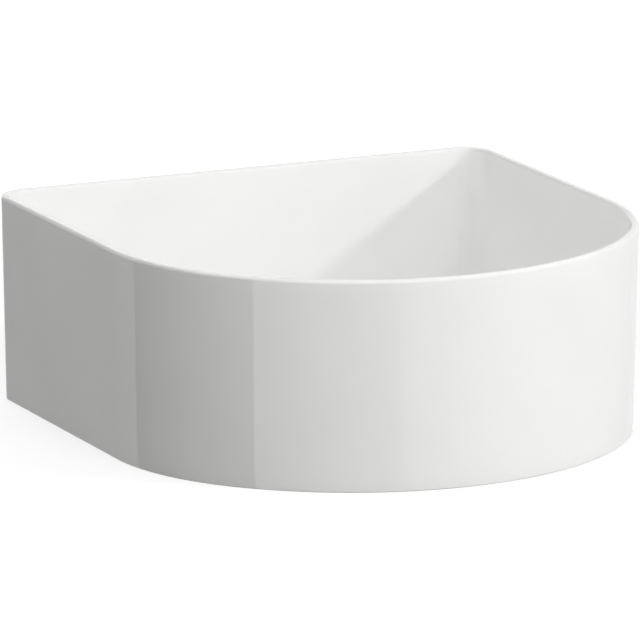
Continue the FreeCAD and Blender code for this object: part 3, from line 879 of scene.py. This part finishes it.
def studio_world(stage):
    """Even light from all round, on a background that is white to the camera and in reflections."""
    world = bpy.data.worlds.new("studio")
    world.use_nodes = True
    bpy.context.scene.world = world
    tree = world.node_tree
    sky = tree.nodes["Background"]
    sky.inputs["Color"].default_value = WHITE
    sky.inputs["Strength"].default_value = stage.sky
    white = tree.nodes.new("ShaderNodeBackground")
    white.inputs["Color"].default_value = WHITE
    both = shaders_mixed(tree, white_rays(tree), sky.outputs["Background"], white.outputs["Background"])
    tree.links.new(both, tree.nodes["World Output"].inputs["Surface"])


def way_to(azimuth, elevation):
    """The direction at an azimuth a and an elevation e: (sin a cos e, -cos a cos e, sin e)."""
    level = math.cos(elevation)
    return Vector((math.sin(azimuth) * level, -math.cos(azimuth) * level, math.sin(elevation)))


def lamp(name, kind, place, **settings):
    """A lamp at a place, turned toward the basin, which doesn't mirror it."""
    data = bpy.data.lights.new(name, kind)
    for setting, value in settings.items():
        setattr(data, setting, value)
    made = placed(name, data)
    made.matrix_world = Matrix.Translation(place) @ place.to_track_quat("Z", "Y").to_matrix().to_4x4()
    made.visible_glossy = False


def studio_lamps(stage):
    """A small key light from the right, whose shadow crosses the back wall, and six large soft lights."""
    across, ahead = math.sin(stage.key_azimuth), math.cos(stage.key_azimuth)
    key_place = Vector((across, -ahead, stage.key_slope * across))
    lamp("key", "SUN", key_place, energy=stage.key, angle=stage.key_angle)
    for name in ("front", "upper", "left", "right", "back", "under"):
        way = way_to(getattr(stage, name + "_azimuth"), getattr(stage, name + "_elevation"))
        lamp(name, "AREA", way * stage.soft_out, energy=getattr(stage, name), size=stage.soft_size)


def studio_camera(stage):
    """The camera: back from the point that it looks at, along its azimuth and elevation, then rolled."""
    back = way_to(stage.azimuth, stage.elevation)
    data = bpy.data.cameras.new("camera")
    data.sensor_width, data.lens, data.clip_end = stage.sensor, stage.lens, stage.sight
    camera = placed("camera", data)
    turn = (-back).to_track_quat("-Z", "Y").to_matrix().to_4x4() @ Matrix.Rotation(stage.roll, 4, "Z")
    camera.matrix_world = Matrix.Translation(Vector(stage.look_at) + back * stage.distance) @ turn
    bpy.context.scene.camera = camera


# Operators
class BASIN_OT_bowl(bpy.types.Operator):
    """Cast the D-shaped bowl with its rim, dished floor and foot"""

    bl_idname = "basin.bowl"
    bl_label = "Bowl"

    def execute(self, context):
        grid = bowl_grid(context.scene.basin_bowl)
        piece("ceramic_bowl", [(grid, True)], "basin", ["basin_bowl"], "bowl_glaze")
        return {"FINISHED"}


class BASIN_OT_waste(bpy.types.Operator):
    """Turn the flange and its threaded tail, with the bars that carry the cartridge"""

    bl_idname = "basin.waste"
    bl_label = "Waste"

    def execute(self, context):
        waste = context.scene.basin_waste
        bars = [(bar_grid(waste, turn), False) for turn in (0, QUARTER)]
        shells = [(tail_grid(waste), True), (hub_grid(waste), True), *bars]
        piece("waste_flange", shells, "basin", ["waste_body"], "waste_chrome")
        return {"FINISHED"}


class BASIN_OT_plug_cap(bpy.types.Operator):
    """Cast the plug's domed cap"""

    bl_idname = "basin.plug_cap"
    bl_label = "Plug Cap"

    def execute(self, context):
        grid = lathed(cap_profile(context.scene.basin_waste), CAP_COLUMNS)
        piece("domed_cap", [(grid, False)], "plug", ["plug_cap"], "bowl_glaze")
        return {"FINISHED"}


class BASIN_OT_spring(bpy.types.Operator):
    """Wind the return spring, at the length of the imported spring"""

    bl_idname = "basin.spring"
    bl_label = "Return Spring"

    def execute(self, context):
        waste = context.scene.basin_waste
        shells = [(spring_grid(waste), False)]
        made = piece("wound_spring", shells, "basin", ["return_spring"], "spring_steel")
        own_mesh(made)
        return {"FINISHED"}


class BASIN_OT_finishes(bpy.types.Operator):
    """Give every piece that is shown as it was packed the finish of its slot"""

    bl_idname = "basin.finishes"
    bl_label = "Finishes"

    def execute(self, context):
        for row in frame["record"]["subparts"]:
            node = frame["nodes"][row["node"]]
            node.data.materials.clear()
            node.data.materials.append(finish_of(row["material_slot"]))
        return {"FINISHED"}


class BASIN_OT_stage(bpy.types.Operator):
    """Set the floor, the light and the camera"""

    bl_idname = "basin.stage"
    bl_label = "Stage"

    def execute(self, context):
        stage = context.scene.basin_stage
        studio_floor(stage)
        for n, level in enumerate(stage.card_levels):
            mirrored_card(f"card_{n + 1}", stage, *stage.card_edges[n:n + 2], level)
        studio_world(stage)
        studio_lamps(stage)
        studio_camera(stage)
        context.scene.view_settings.view_transform = "Standard"
        return {"FINISHED"}


class BASIN_PT_panel(bpy.types.Panel):
    """Lists the basin's pieces and its stage"""

    bl_idname = "BASIN_PT_panel"
    bl_label = "Hand Basin"
    bl_space_type = "VIEW_3D"
    bl_region_type = "UI"
    bl_category = "Basin"

    def draw(self, context):
        for operator in OPERATORS:
            self.layout.operator(operator.bl_idname)


OPERATORS = (
    BASIN_OT_bowl, BASIN_OT_waste, BASIN_OT_plug_cap, BASIN_OT_spring, BASIN_OT_finishes, BASIN_OT_stage,
)
GROUPS = {
    "basin_bowl": BasinBowlSizes, "basin_waste": BasinWasteSizes,
    "basin_finishes": BasinFinishes, "basin_stage": BasinStage,
}


def register():
    for made in (*GROUPS.values(), *OPERATORS, BASIN_PT_panel):
        bpy.utils.register_class(made)
    for name, group in GROUPS.items():
        setattr(bpy.types.Scene, name, PointerProperty(type=group))


def unregister():
    for name in GROUPS:
        delattr(bpy.types.Scene, name)
    for made in reversed((*GROUPS.values(), *OPERATORS, BASIN_PT_panel)):
        bpy.utils.unregister_class(made)


def main():
    register()
    bpy.ops.basin.bowl()
    bpy.ops.basin.waste()
    bpy.ops.basin.plug_cap()
    bpy.ops.basin.spring()
    bpy.ops.basin.finishes()
    bpy.ops.basin.stage()


if __name__ == "__main__":
    main()
